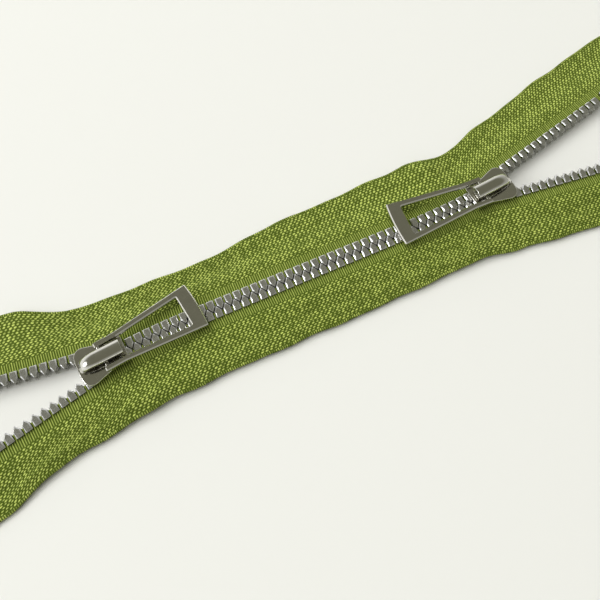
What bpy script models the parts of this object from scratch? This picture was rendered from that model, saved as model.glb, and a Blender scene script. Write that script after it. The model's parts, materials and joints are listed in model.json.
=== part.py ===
"""A two-way metal zipper with 19 cm of chain, closed between two sliders that sit tail to tail.

Units are metres and +Z is up. X runs along the closed chain, and the origin is at its middle, on the
table that the zipper lies on. A half-turn about Z carries one half of the zipper onto the other, apart
from the pull tabs, which lie at slightly different angles.
"""

import math

import bmesh
import bpy
from mathutils import Matrix

MM = 0.001

# Chain
PITCH = 2.24 * MM
TEETH_EACH_WAY = 42
TOOTH_WIDTH = 1.75 * MM
TOOTH_TIP_PAST_LINE = 0.58 * MM
TOOTH_V_LENGTH = 1.15 * MM
TOOTH_BACK = 2.3 * MM
TOOTH_HEIGHT = 2.4 * MM
JAW_OPENING = 0.8 * MM
JAW_THROAT = 1.3 * MM
CORD_LINE = 0.95 * MM
CORD_RADIUS = 0.26 * MM
CHAIN_MIDDLE_Z = 2.1 * MM

# The line that each row follows, from the middle outwards, as (length, turn) stretches. Rows meet on it
# where they are closed. Side 1 is the row on +Y and side -1 the row on -Y, both on the +X half.
BEND_START = 28.0 * MM
BEND_LENGTH = 17.45 * MM
BEND_TURN = math.radians(5.0)
CHANNEL_TURN = math.radians(20.0)
CHANNEL_STRETCHES = 2.0 * MM, 4.0 * MM, 3.2 * MM, 2.5 * MM
LEG_HEADING = {1: math.radians(13.5), -1: math.radians(-6.5)}
SLIDER_TAIL_AT = BEND_START + BEND_LENGTH

# Tape
TAPE_HALF_LENGTH = 115.0 * MM
TAPE_EDGE = 15.3 * MM
TAPE_INNER_EDGE = 1.45 * MM
TAPE_THICKNESS = 0.6 * MM
TAPE_EDGE_TURN_LENGTH = {1: 17.0 * MM, -1: 12.0 * MM}
TAPE_STATIONS = 58
# Height of the tape's middle surface at shares of its width, from the teeth to the outer edge
TAPE_PROFILE = (0.0, 1.0), (0.31, 1.0), (0.56, 0.0), (1.0, 0.0)

# Stops
STOP_AT = 95.8 * MM
STOP_LENGTH = 2.2 * MM
STOP_INNER = -0.1 * MM
STOP_BACK = 2.6 * MM
STOP_HEIGHT = 3.2 * MM

# Slider, along its own line from the tail to the nose
SLIDER_LENGTH = 11.5 * MM
BLADE_THICKNESS = 0.8 * MM
CHANNEL_HEIGHT = 2.6 * MM
TAIL_HALF_WIDTH = 3.2 * MM
WAIST_AT = 3.6 * MM
SHOULDER_CENTRE = 9.2 * MM, 2.55 * MM
SHOULDER_RADIUS = 2.2 * MM
SHOULDER_ARC = 112, 8, 6
NOSE_HALF_WIDTH = 1.6 * MM
FLANGE_THICKNESS = 0.6 * MM
FLANGE_HEIGHT = 0.55 * MM
FLANGE_LENGTH = 7.4 * MM
FLANGE_INSET = 0.05 * MM
DIAMOND_PLACES = 7.6 * MM, 9.2 * MM, 11.3 * MM
DIAMOND_HALF_WIDTHS = 0.3 * MM, 1.0 * MM, 1.6 * MM
BLADE_TOP = 2 * BLADE_THICKNESS + CHANNEL_HEIGHT
PIN_HOLE = (1.5 * MM, 2.35 * MM), 0.65 * MM

# Bridge cap over the slider, and the lock lever under it, as side views: distance from the tail, height
CAP_WIDTH = 3.5 * MM
CAP_FOOT_GAP = 0.05 * MM
CAP_TOP = 7.4 * MM
CAP_THICKNESS = 0.65 * MM
CAP_TAIL = 0.5 * MM
CAP_TAIL_WALL = 0.7 * MM
CAP_TAIL_CHAMFER = 0.4 * MM
CAP_NOSE = 11.1 * MM
CAP_NOSE_BEND = 4.6 * MM
LEVER_LINE = (9.35, 4.42), (8.6, 5.6), (8.0, 5.92), (2.2, 5.92), (1.85, 5.6), (1.85, 3.42)
LEVER_THICKNESS = 0.25 * MM
LEVER_WIDTH = 1.0 * MM
LEVER_PIVOT = 9.2 * MM, 4.55 * MM

# Pull tab, along its own line from the pegs to the bar
PEG_RADIUS = 0.4 * MM
PEG_HEIGHT = 5.3 * MM
PEG_INNER_END = 0.3 * MM
PEG_AT = {"left": 5.2 * MM, "right": 3.1 * MM}
TAB_YAW = {"left": math.radians(3.4), "right": math.radians(-7.1)}
TAB_DROOP = math.radians(3.0)
TAB_LENGTH = 23.85 * MM
TAB_ARM_END = 0.65 * MM
TAB_STRAIGHT = 4.2 * MM
TAB_HALF_WIDTHS = 3.8 * MM, 5.85 * MM
TAB_ARM_WIDTHS = 1.25 * MM, 1.5 * MM
TAB_BAR_DEPTH = 3.2 * MM
TAB_BAR_BOW = 0.35 * MM
TAB_THICKNESS = 1.3 * MM

NICKEL = (0.78, 0.77, 0.72, 1.0), 0.16, 1.0
DARK_NICKEL = (0.55, 0.54, 0.48, 1.0), 0.2, 1.0
LIME_TAPE = (0.27, 0.38, 0.05, 1.0), 0.85, 0.0


def clear_scene():
    for obj in list(bpy.data.objects):
        bpy.data.objects.remove(obj)


def new_collection(name):
    collection = bpy.data.collections.new(name)
    bpy.context.scene.collection.children.link(collection)
    return collection


def new_material(name, look):
    colour, roughness, metallic = look
    material = bpy.data.materials.new(name)
    material.use_nodes = True
    shader = material.node_tree.nodes["Principled BSDF"]
    shader.inputs["Base Color"].default_value = colour
    shader.inputs["Roughness"].default_value = roughness
    shader.inputs["Metallic"].default_value = metallic
    material.diffuse_color = colour
    return material


def add_part(name, mesh, look, parent=None):
    """A sub-part with a material of its own, which stands where its parent does."""
    obj = bpy.data.objects.new(name, mesh)
    mesh.materials.clear()
    mesh.materials.append(new_material(name, look))
    PARTS.objects.link(obj)
    obj.parent = parent
    return obj


def add_cutter(name, mesh, parent=None):
    obj = bpy.data.objects.new(name, mesh)
    CUTTERS.objects.link(obj)
    obj.parent = parent
    obj.hide_render = True
    obj.display_type = "WIRE"
    return obj


def add_empty(name, matrix):
    empty = bpy.data.objects.new(name, None)
    empty.empty_display_size = 3 * MM
    PARTS.objects.link(empty)
    empty.matrix_world = matrix
    return empty


def combine(obj, tool, operation):
    modifier = obj.modifiers.new(operation.title() + " " + tool.name, "BOOLEAN")
    modifier.operation = operation
    modifier.object = tool


def evaluated_mesh(obj):
    """The mesh that an object shows, on its own, with a curve's loose caps welded."""
    bpy.context.view_layer.update()
    graph = bpy.context.evaluated_depsgraph_get()
    mesh = bpy.data.meshes.new_from_object(obj.evaluated_get(graph))
    shape = bmesh.new()
    shape.from_mesh(mesh)
    bmesh.ops.remove_doubles(shape, verts=shape.verts, dist=1e-6)
    bmesh.ops.recalc_face_normals(shape, faces=shape.faces)
    shape.to_mesh(mesh)
    shape.free()
    return mesh


def mesh_of_curve(curve, matrix=None):
    obj = bpy.data.objects.new("outline", curve)
    bpy.context.scene.collection.objects.link(obj)
    mesh = evaluated_mesh(obj)
    bpy.data.objects.remove(obj)
    if matrix is not None:
        mesh.transform(matrix)
    return mesh


def plate(outline, bottom, top):
    """A flat outline of (x, y) points, filled and given thickness between two heights."""
    curve = bpy.data.curves.new("outline", "CURVE")
    curve.dimensions = "2D"
    curve.fill_mode = "BOTH"
    curve.extrude = (top - bottom) / 2
    spline = curve.splines.new("POLY")
    spline.points.add(len(outline) - 1)
    for point, (x, y) in zip(spline.points, outline):
        point.co = x, y, 0, 1
    spline.use_cyclic_u = True
    return mesh_of_curve(curve, Matrix.Translation((0, 0, (top + bottom) / 2)))


def side_plate(outline, width):
    """A side view of (distance, height) points, given width across the line it is drawn along."""
    mesh = plate(outline, -width / 2, width / 2)
    mesh.transform(Matrix.Rotation(math.pi / 2, 4, "X"))
    return mesh


def box(low, high):
    shape = bmesh.new()
    bmesh.ops.create_cube(shape, size=1)
    middle = [(a + b) / 2 for a, b in zip(low, high)]
    size = [b - a for a, b in zip(low, high)]
    bmesh.ops.transform(
        shape, matrix=Matrix.LocRotScale(middle, None, size), verts=shape.verts
    )
    mesh = bpy.data.meshes.new("box")
    shape.to_mesh(mesh)
    shape.free()
    return mesh


def joined(mesh, matrices):
    """One mesh that holds a copy of another at each matrix."""
    shape = bmesh.new()
    for matrix in matrices:
        before = len(shape.verts)
        shape.from_mesh(mesh)
        shape.verts.ensure_lookup_table()
        bmesh.ops.transform(shape, matrix=matrix, verts=shape.verts[before:])
    result = bpy.data.meshes.new("copies")
    shape.to_mesh(result)
    shape.free()
    return result


def arc(centre, radius, start, end, steps):
    """Points on an arc, its angles in degrees."""
    angles = [math.radians(start + (end - start) * i / steps) for i in range(steps + 1)]
    return [
        (centre[0] + radius * math.cos(a), centre[1] + radius * math.sin(a)) for a in angles
    ]


def mirrored(half):
    """A closed outline from its half on +Y, which runs from one end of the X axis to the other."""
    return half + [(x, -y) for x, y in reversed(half)]


def follow(stretches, distance):
    """Place and heading at a distance along a line of (length, turn) stretches."""
    x = y = heading = 0.0
    for length, turn in stretches:
        run = min(distance, length)
        turned = turn * run / length
        chord = run * math.sin(turned / 2) / (turned / 2) if turned else run
        x += chord * math.cos(heading + turned / 2)
        y += chord * math.sin(heading + turned / 2)
        heading += turned
        distance -= run
    return x, y, heading


def row_stretches(side):
    inside, curve, run, curve_back = CHANNEL_STRETCHES
    back = LEG_HEADING[side] - BEND_TURN - side * CHANNEL_TURN
    return [
        (BEND_START, 0.0),
        (BEND_LENGTH, BEND_TURN),
        (inside, 0.0),
        (curve, side * CHANNEL_TURN),
        (run, 0.0),
        (curve_back, back),
        (math.inf, 0.0),
    ]


def row_place(side, distance):
    """Place and heading on a row's line. Negative distances are on -X, a half-turn of +X's other row."""
    end = math.copysign(1.0, distance)
    x, y, heading = follow(row_stretches(int(side * end)), abs(distance))
    return end * x, end * y, heading


def row_frame(side, distance):
    """A frame on a row's line with its +Y towards that row's tape, at the height of the chain's middle."""
    x, y, heading = row_place(side, distance)
    turn = heading if side > 0 else heading + math.pi
    return Matrix.Translation((x, y, CHAIN_MIDDLE_Z)) @ Matrix.Rotation(turn, 4, "Z")


def tooth_distances(side):
    """Teeth stand a quarter pitch off the middle, the two rows opposite ways, so that they interlock."""
    return [
        (i + side * 0.25) * PITCH for i in range(-TEETH_EACH_WAY, TEETH_EACH_WAY + 1)
        if abs(i + side * 0.25) < TEETH_EACH_WAY
    ]


def clamp_mesh(outline, height):
    """A metal clamp of some outline, with the opening between its jaws for the tape's edge."""
    half = height / 2
    solid = bpy.data.objects.new("clamp", plate(outline, -half, half))
    bpy.context.scene.collection.objects.link(solid)
    opening = box(
        (-3 * MM, JAW_THROAT, -JAW_OPENING / 2), (3 * MM, 5 * MM, JAW_OPENING / 2)
    )
    cutter = add_cutter("jaw_opening", opening)
    combine(solid, cutter, "DIFFERENCE")
    mesh = evaluated_mesh(solid)
    bpy.data.objects.remove(solid)
    bpy.data.objects.remove(cutter)
    return mesh


def tooth_mesh():
    half = TOOTH_WIDTH / 2
    shoulder = TOOTH_V_LENGTH - TOOTH_TIP_PAST_LINE
    outline = [
        (0, -TOOTH_TIP_PAST_LINE),
        (half, shoulder),
        (half, TOOTH_BACK),
        (-half, TOOTH_BACK),
        (-half, shoulder),
    ]
    return clamp_mesh(outline, TOOTH_HEIGHT)


def stop_mesh():
    half = STOP_LENGTH / 2
    outline = [
        (-half, STOP_INNER),
        (half, STOP_INNER),
        (half, STOP_BACK),
        (-half, STOP_BACK),
    ]
    return clamp_mesh(outline, STOP_HEIGHT)


def cord_mesh(frames):
    """The tape's bead cord through a stretch of teeth, from the first tooth's middle to the last's."""
    curve = bpy.data.curves.new("cord", "CURVE")
    curve.dimensions = "3D"
    curve.bevel_depth = CORD_RADIUS
    curve.bevel_resolution = 0
    curve.use_fill_caps = True
    spline = curve.splines.new("POLY")
    spline.points.add(len(frames) - 1)
    for point, frame in zip(spline.points, frames):
        point.co = (*(frame.translation + frame.col[1].xyz * CORD_LINE), 1)
    return mesh_of_curve(curve)


def add_rows(side, name, tooth):
    """A row's teeth: joined by their cord between the sliders and on the legs, single in the sliders."""
    tail, nose = SLIDER_TAIL_AT - 1.5 * MM, SLIDER_TAIL_AT + SLIDER_LENGTH + 0.5 * MM
    stretches = {"left_leg": [], "middle": [], "right_leg": []}
    singles = {"left": [], "right": []}
    for distance in tooth_distances(side):
        end = "left" if distance < 0 else "right"
        frame = row_frame(side, distance)
        if abs(distance) < tail:
            stretches["middle"].append(frame)
        elif abs(distance) < nose:
            singles[end].append(frame)
        else:
            stretches[end + "_leg"].append(frame)
    for stretch, frames in stretches.items():
        row = add_part(f"{name}_teeth_{stretch}", cord_mesh(frames), NICKEL)
        teeth = add_cutter(f"{name}_{stretch}_joined", joined(tooth, frames))
        combine(row, teeth, "UNION")
    for end, frames in singles.items():
        for number, frame in enumerate(frames, 1):
            single = add_part(f"{name}_tooth_{end}_{number}", tooth.copy(), NICKEL)
            single.matrix_world = frame


def tape_edge_stretches(side):
    """The tape's outer edge, which turns once to run beside its leg, TAPE_EDGE from the leg's line."""
    x, y, heading = row_place(side, STOP_AT)
    out_x = x - side * TAPE_EDGE * math.sin(heading)
    out_y = y + side * TAPE_EDGE * math.cos(heading)
    corner = out_x - (out_y - side * TAPE_EDGE) / math.tan(heading)
    length = TAPE_EDGE_TURN_LENGTH[side]
    cut = length / abs(heading) * math.tan(abs(heading) / 2)
    return [(corner - cut, 0.0), (length, heading), (math.inf, 0.0)]


def tape_edge_place(side, share):
    """A point on the tape's outer edge, at a share from -1 to 1 of the way to its ends."""
    end = math.copysign(1.0, share)
    on_half = int(side * end)
    stretches = tape_edge_stretches(on_half)
    x, _, heading = row_place(on_half, TAPE_HALF_LENGTH)
    corner_x = x - on_half * TAPE_EDGE * math.sin(heading)
    turned_x, _, _ = follow(stretches, stretches[0][0] + stretches[1][0])
    length = stretches[0][0] + stretches[1][0] + (corner_x - turned_x) / math.cos(heading)
    x, y, _ = follow(stretches, abs(share) * length)
    return end * x, end * (y + on_half * TAPE_EDGE)


def tape_height(share):
    """Height of the tape's middle surface at a share of its width."""
    low = TAPE_THICKNESS / 2
    for (a, rise_a), (b, rise_b) in zip(TAPE_PROFILE, TAPE_PROFILE[1:]):
        if share <= b + 1e-9:
            rise = rise_a + (rise_b - rise_a) * (share - a) / (b - a)
            return low + (CHAIN_MIDDLE_Z - low) * rise
    return low


def add_tape(side, name):
    """A tape, as a grid bent between the row's line and the outer edge, with its woven thickness."""
    across = [share for share, _ in TAPE_PROFILE]
    shape = bmesh.new()
    bmesh.ops.create_grid(shape, x_segments=TAPE_STATIONS, y_segments=len(across) - 1, size=1)
    for vert in shape.verts:
        share = across[round((vert.co.y + 1) / 2 * (len(across) - 1))]
        frame = row_frame(side, vert.co.x * TAPE_HALF_LENGTH)
        inner = frame.translation + frame.col[1].xyz * TAPE_INNER_EDGE
        x, y = tape_edge_place(side, vert.co.x)
        vert.co = (
            inner.x + (x - inner.x) * share,
            inner.y + (y - inner.y) * share,
            tape_height(share),
        )
    bmesh.ops.recalc_face_normals(shape, faces=shape.faces)
    mesh = bpy.data.meshes.new(name)
    shape.to_mesh(mesh)
    shape.free()
    tape = add_part(name, mesh, LIME_TAPE)
    thickness = tape.modifiers.new("Woven thickness", "SOLIDIFY")
    thickness.thickness = TAPE_THICKNESS
    thickness.offset = 0
    thickness.use_even_offset = True


def add_stops(side, name):
    for end, word in ((-1, "left"), (1, "right")):
        stop = add_part(f"{name}_stop_{word}", stop_mesh(), NICKEL)
        stop.matrix_world = row_frame(side, end * STOP_AT)


def blade_outline():
    half = [(0.0, TAIL_HALF_WIDTH), (WAIST_AT, TAIL_HALF_WIDTH)]
    half += arc(SHOULDER_CENTRE, SHOULDER_RADIUS, *SHOULDER_ARC)
    half += [(SLIDER_LENGTH, NOSE_HALF_WIDTH)]
    return mirrored(half)


def flange_outline(side):
    """The rim along one side of a blade, from the tail to just before the shoulder."""
    shoulder = arc(SHOULDER_CENTRE, SHOULDER_RADIUS, *SHOULDER_ARC)[0]
    slope = (shoulder[1] - TAIL_HALF_WIDTH) / (shoulder[0] - WAIST_AT)
    outer_end = TAIL_HALF_WIDTH + slope * (FLANGE_LENGTH - WAIST_AT)
    outer = [(0.0, TAIL_HALF_WIDTH), (WAIST_AT, TAIL_HALF_WIDTH), (FLANGE_LENGTH, outer_end)]
    inner = [(x, y - FLANGE_THICKNESS) for x, y in reversed(outer)]
    return [(x, side * (y - FLANGE_INSET)) for x, y in outer + inner]


def diamond_outline():
    """The wedge that parts the rows, from its narrow end inside the slider to the nose."""
    return mirrored(list(zip(DIAMOND_PLACES, DIAMOND_HALF_WIDTHS)))


def add_slider_body(name, place):
    """The cast body: two blades held apart by the diamond at the nose, with flanges along their sides."""
    body = add_part(name, plate(blade_outline(), 0, BLADE_THICKNESS), NICKEL, place)
    upper = BLADE_THICKNESS + CHANNEL_HEIGHT
    sink = 0.1 * MM
    pieces = {
        "diamond": plate(diamond_outline(), BLADE_THICKNESS - sink, upper + sink),
        "upper_blade": plate(blade_outline(), upper, BLADE_TOP),
    }
    for side, word in ((1, "a"), (-1, "b")):
        outline = flange_outline(side)
        low = BLADE_THICKNESS - sink, BLADE_THICKNESS + FLANGE_HEIGHT
        high = upper - FLANGE_HEIGHT, upper + sink
        pieces["lower_flange_" + word] = plate(outline, *low)
        pieces["upper_flange_" + word] = plate(outline, *high)
    for piece, mesh in pieces.items():
        combine(body, add_cutter(f"{name}_{piece}", mesh, place), "UNION")
    (start, end), half = PIN_HOLE
    hole = box((start, -half, upper - sink), (end, half, BLADE_TOP + sink))
    combine(body, add_cutter(f"{name}_pin_hole", hole, place), "DIFFERENCE")


def cap_outline():
    """Side view of the bridge: a square tail, a level top, and a nose that curves down to the blade."""
    foot = BLADE_TOP + CAP_FOOT_GAP
    rise = CAP_TOP - foot
    start = CAP_NOSE - CAP_NOSE_BEND
    turns = [math.radians(90 * i / 6) for i in range(7)]
    outer = [
        (start + CAP_NOSE_BEND * math.sin(t), foot + rise * math.cos(t)) for t in turns
    ]
    inner_bend, inner_rise = CAP_NOSE_BEND - CAP_THICKNESS, rise - CAP_THICKNESS
    inner = [
        (start + inner_bend * math.sin(t), foot + inner_rise * math.cos(t)) for t in turns
    ]
    wall = CAP_TAIL + CAP_TAIL_WALL
    return [
        (CAP_TAIL, foot),
        (CAP_TAIL, CAP_TOP - CAP_TAIL_CHAMFER),
        (CAP_TAIL + CAP_TAIL_CHAMFER, CAP_TOP),
        *outer,
        *reversed(inner),
        (wall, CAP_TOP - CAP_THICKNESS),
        (wall, foot),
    ]


def strip_outline(line, thickness):
    """The closed outline of a bent strip, from the line along its middle."""
    normals = []
    for (ax, ay), (bx, by) in zip(line, line[1:]):
        length = math.hypot(bx - ax, by - ay)
        normals.append(((ay - by) / length, (bx - ax) / length))
    sides = {1: [], -1: []}
    for i, (x, y) in enumerate(line):
        (px, py), (qx, qy) = normals[max(i - 1, 0)], normals[min(i, len(normals) - 1)]
        scale = thickness / (1 + px * qx + py * qy)
        for side, points in sides.items():
            reach = side * scale / 2
            points.append((x + (px + qx) * reach, y + (py + qy) * reach))
    return sides[1] + sides[-1][::-1]


def add_lock_lever(name, slider_matrix):
    """The spring strip under the bridge, whose bent end is the pin that drops between the teeth."""
    along, height = LEVER_PIVOT
    place = add_empty(name + "_pivot", slider_matrix @ Matrix.Translation((along, 0, height)))
    line = [(x * MM - along, z * MM - height) for x, z in LEVER_LINE]
    add_part(name, side_plate(strip_outline(line, LEVER_THICKNESS), LEVER_WIDTH), DARK_NICKEL, place)


def tab_outline():
    """The pull tab seen from above, running towards -X: two arms with square ends splay to a bowed bar."""
    narrow, wide = TAB_HALF_WIDTHS
    slope = (wide - narrow) / (TAB_LENGTH - TAB_STRAIGHT)
    bar_start = TAB_LENGTH - TAB_BAR_DEPTH
    inner, inner_end = TAB_ARM_WIDTHS
    bow = [
        (-TAB_LENGTH - TAB_BAR_BOW * (1 - (i / 4) ** 2), wide * i / 4) for i in range(5)
    ]
    window_end = narrow + slope * (bar_start - TAB_STRAIGHT) - inner_end
    half = bow + [
        (-TAB_STRAIGHT, narrow),
        (TAB_ARM_END, narrow),
        (TAB_ARM_END, narrow - inner),
        (-TAB_STRAIGHT, narrow - inner),
        (-bar_start, window_end),
    ]
    return half + [(x, -y) for x, y in reversed(half[1:])]


def add_pull_tab(name, end, slider_matrix):
    """The pull tab, level with its pegs, with its origin on the axis that the pegs turn about."""
    place = add_empty(
        name + "_pegs",
        slider_matrix
        @ Matrix.Translation((PEG_AT[end], 0, PEG_HEIGHT))
        @ Matrix.Rotation(TAB_YAW[end], 4, "Z")
        @ Matrix.Rotation(-TAB_DROOP, 4, "Y"),
    )
    half = TAB_THICKNESS / 2
    tab = add_part(name, plate(tab_outline(), -half, half), NICKEL, place)
    arm_middle = TAB_HALF_WIDTHS[0] - TAB_ARM_WIDTHS[0] / 2
    for side, word in ((1, "a"), (-1, "b")):
        shape = bmesh.new()
        bmesh.ops.create_cone(
            shape,
            cap_ends=True,
            segments=12,
            radius1=PEG_RADIUS,
            radius2=PEG_RADIUS,
            depth=arm_middle - PEG_INNER_END,
            matrix=Matrix.Translation((0, side * (arm_middle + PEG_INNER_END) / 2, 0))
            @ Matrix.Rotation(math.pi / 2, 4, "X"),
        )
        mesh = bpy.data.meshes.new("peg")
        shape.to_mesh(mesh)
        shape.free()
        combine(tab, add_cutter(f"{name}_peg_{word}", mesh, place), "UNION")


def add_slider(end):
    side = 1 if end == "right" else -1
    x, y, heading = row_place(1, side * SLIDER_TAIL_AT)
    turn = heading if side > 0 else heading + math.pi
    matrix = Matrix.Translation((x, y, 0)) @ Matrix.Rotation(turn, 4, "Z")
    place = add_empty(end + "_slider", matrix)
    add_slider_body(end + "_slider_body", place)
    add_part(end + "_bridge_cap", side_plate(cap_outline(), CAP_WIDTH), NICKEL, place)
    add_lock_lever(end + "_lock_lever", matrix)
    add_pull_tab(end + "_pull_tab", end, matrix)


clear_scene()
PARTS = new_collection("zipper")
CUTTERS = new_collection("cutters")
for row_side, row_name in ((1, "upper"), (-1, "lower")):
    add_tape(row_side, row_name + "_tape")
    add_rows(row_side, row_name, tooth_mesh())
    add_stops(row_side, row_name)
for slider_end in ("left", "right"):
    add_slider(slider_end)
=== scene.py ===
"""The looks of a two-way metal zipper: woven tapes, nickel teeth, two cast sliders and their pull tabs.

Everything is in metres, in the frame of the CAD model. X runs along the closed chain, +Z is up, and the
origin is at the chain's middle, on the table. The two rows of teeth and their tapes follow one line each,
as in the CAD. Where a slider moves, its half of those lines moves with it, and the tape and the teeth
slide along the line: they keep their length, and the zipper opens or closes behind the slider.
"""

import json
import math

import bmesh
import bpy
import numpy as np
from mathutils import Matrix, Vector

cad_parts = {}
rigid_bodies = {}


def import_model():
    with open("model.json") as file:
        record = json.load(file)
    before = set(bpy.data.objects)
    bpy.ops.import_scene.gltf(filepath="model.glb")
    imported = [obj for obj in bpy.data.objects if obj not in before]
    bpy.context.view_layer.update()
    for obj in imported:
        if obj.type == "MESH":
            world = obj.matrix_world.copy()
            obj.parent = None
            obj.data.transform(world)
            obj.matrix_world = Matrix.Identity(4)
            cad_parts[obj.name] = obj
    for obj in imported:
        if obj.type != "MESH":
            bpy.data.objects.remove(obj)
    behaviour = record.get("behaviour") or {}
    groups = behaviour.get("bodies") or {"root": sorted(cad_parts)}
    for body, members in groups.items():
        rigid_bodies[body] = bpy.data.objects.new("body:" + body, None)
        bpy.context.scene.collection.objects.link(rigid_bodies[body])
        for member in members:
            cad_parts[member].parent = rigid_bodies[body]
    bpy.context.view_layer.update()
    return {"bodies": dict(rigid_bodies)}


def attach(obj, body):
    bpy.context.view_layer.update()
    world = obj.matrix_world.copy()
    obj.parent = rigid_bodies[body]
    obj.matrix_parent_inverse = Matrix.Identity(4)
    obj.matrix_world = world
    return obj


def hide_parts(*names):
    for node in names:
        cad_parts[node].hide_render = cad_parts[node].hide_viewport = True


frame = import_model()

MM = 0.001

# Chain, as in the CAD
PITCH = 2.24 * MM
TEETH_EACH_WAY = 42
TOOTH_WIDTH = 1.75 * MM
TOOTH_TIP_PAST_LINE = 0.58 * MM
TOOTH_V_LENGTH = 1.15 * MM
TOOTH_BACK = 2.3 * MM
TOOTH_HEIGHT = 2.4 * MM
JAW_OPENING = 0.8 * MM
JAW_THROAT = 1.3 * MM
CHAIN_MIDDLE_Z = 2.1 * MM
BEND_START = 28.0 * MM
BEND_LENGTH = 17.45 * MM
BEND_TURN = math.radians(5.0)
CHANNEL_TURN = math.radians(20.0)
CHANNEL_STRETCHES = 2.0 * MM, 4.0 * MM, 3.2 * MM, 2.5 * MM
LEG_HEADING = {1: math.radians(13.5), -1: math.radians(-6.5)}
SLIDER_TAIL_AT = BEND_START + BEND_LENGTH
STOP_AT = 95.8 * MM
STOP_LENGTH = 2.2 * MM
STOP_INNER = -0.1 * MM
STOP_BACK = 2.6 * MM
STOP_HEIGHT = 3.2 * MM

# The teeth from just before a slider's tail to just past its nose are single nodes
SINGLES_BEFORE_TAIL = 1.5 * MM
SINGLES_PAST_NOSE = 0.5 * MM

# Tape, as in the CAD
TAPE_HALF_LENGTH = 115.0 * MM
TAPE_EDGE = 15.3 * MM
TAPE_INNER_EDGE = 1.45 * MM
TAPE_THICKNESS = 0.6 * MM
TAPE_EDGE_TURN_LENGTH = {1: 17.0 * MM, -1: 12.0 * MM}
TAPE_LEVEL_SHARE = 0.31

# Weave: ribs beside the teeth and at the outer edge, and short slanted floats, laid like bricks, between
RIBS_PER_TOOTH = 4
RIB_HEIGHT = 0.075 * MM
RIB_BAND_END = 4.5 * MM
SELVEDGE_WIDTH = 0.6 * MM
YARN = 0.52 * MM
FLOAT_LENGTH = PITCH / 2
FLOAT_HEIGHT = 0.07 * MM
YARN_STEP = 0.5
YARN_STRAY = 0.13
YARN_STRAY_TURN = 2.4
FLOAT_TILT = 0.35
FLOAT_ROUNDNESS = 2.5, 2.2
COLUMNS_PER_PITCH = 12
BEAD_RADIUS = 0.52 * MM
BEAD_CENTRE = 1.1 * MM
BAND_START = 1.8 * MM
UNDERSIDE_MARGINS = 0.7 * MM, 1.8 * MM

# The tape doesn't lie flat. Shares run from its inner edge, 0, to its outer edge, 1: it comes down to
# the table in a softer curve than the CAD's. A ripple of the edge is (size, length per radian, start).
TAPE_LOW_SHARE = 0.72
STRAY_START_SHARE = 0.3
LIFT_RISE_SHARE = 0.5
DROOP_START_SHARE = 0.75
EDGE_DROOP = 0.45
RIPPLES = (0.12 * MM, 3.1 * MM, 0.0), (0.1 * MM, 1.9 * MM, 1.0)
TABLE_GAP = 0.02 * MM

# How far the outer edge strays outwards, and how far the outer half lifts off the table, at some places
# along the tape (mm along, mm)
EDGE_STRAY = {
    1: [(-115, 1.0), (-69, 2.3), (-56, -1.2), (-35, -1.4), (-21, -1.3), (0, 1.0), (36, 2.2),
        (49, -0.8), (60, 0.2), (90, 1.5), (115, 1.7)],
    -1: [(-115, 0.0), (-84, -0.6), (-71, -2.6), (-53, -1.5), (-43, -0.5), (-33, -0.1), (-22, -0.4),
         (8, -0.6), (29, -1.1), (42, -1.5), (52, -0.1), (115, 0.0)],
}
EDGE_LIFT = {
    1: [(-115, 0.0), (-80, 0.2), (-62, 1.0), (-52, 0.1), (-43, 0.9), (-30, 0.1), (-10, 0.3),
        (10, 0.1), (28, 0.4), (41, 1.5), (49, 0.1), (57, 0.8), (66, 0.2), (84, 0.4), (115, 0.0)],
    -1: [(-115, 0.0), (-84, 0.8), (-71, 1.8), (-58, 1.5), (-45, 2.3), (-33, 1.6), (-12, 1.4),
         (8, 1.2), (24, 1.5), (41, 2.0), (52, 1.2), (66, 1.2), (84, 0.5), (115, 0.0)],
}

# Slider, along its own line from the tail to the nose, as in the CAD
SLIDER_LENGTH = 11.5 * MM
BLADE_THICKNESS = 0.8 * MM
CHANNEL_HEIGHT = 2.6 * MM
TAIL_HALF_WIDTH = 3.2 * MM
WAIST_AT = 3.6 * MM
SHOULDER_CENTRE = 9.2 * MM, 2.55 * MM
SHOULDER_RADIUS = 2.2 * MM
SHOULDER_ANGLES = 112, 8
NOSE_HALF_WIDTH = 1.6 * MM
FLANGE_THICKNESS = 0.6 * MM
FLANGE_HEIGHT = 0.55 * MM
FLANGE_LENGTH = 7.4 * MM
FLANGE_INSET = 0.05 * MM
DIAMOND_PLACES = 7.6 * MM, 9.2 * MM, 11.3 * MM
DIAMOND_HALF_WIDTHS = 0.3 * MM, 1.0 * MM, 1.6 * MM
BLADE_TOP = 2 * BLADE_THICKNESS + CHANNEL_HEIGHT
PIN_HOLE = (1.5 * MM, 2.35 * MM), 0.65 * MM
CAP_WIDTH = 3.5 * MM
CAP_TOP = 7.4 * MM
CAP_THICKNESS = 0.65 * MM
CAP_TAIL = 0.5 * MM
CAP_NOSE = 11.1 * MM
CAP_NOSE_BEND = 4.6 * MM
LEVER_LINE = (9.35, 4.42), (8.6, 5.6), (8.0, 5.92), (2.2, 5.92), (1.85, 5.6), (1.85, 3.42)
LEVER_THICKNESS = 0.25 * MM
LEVER_WIDTH = 1.0 * MM

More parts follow.
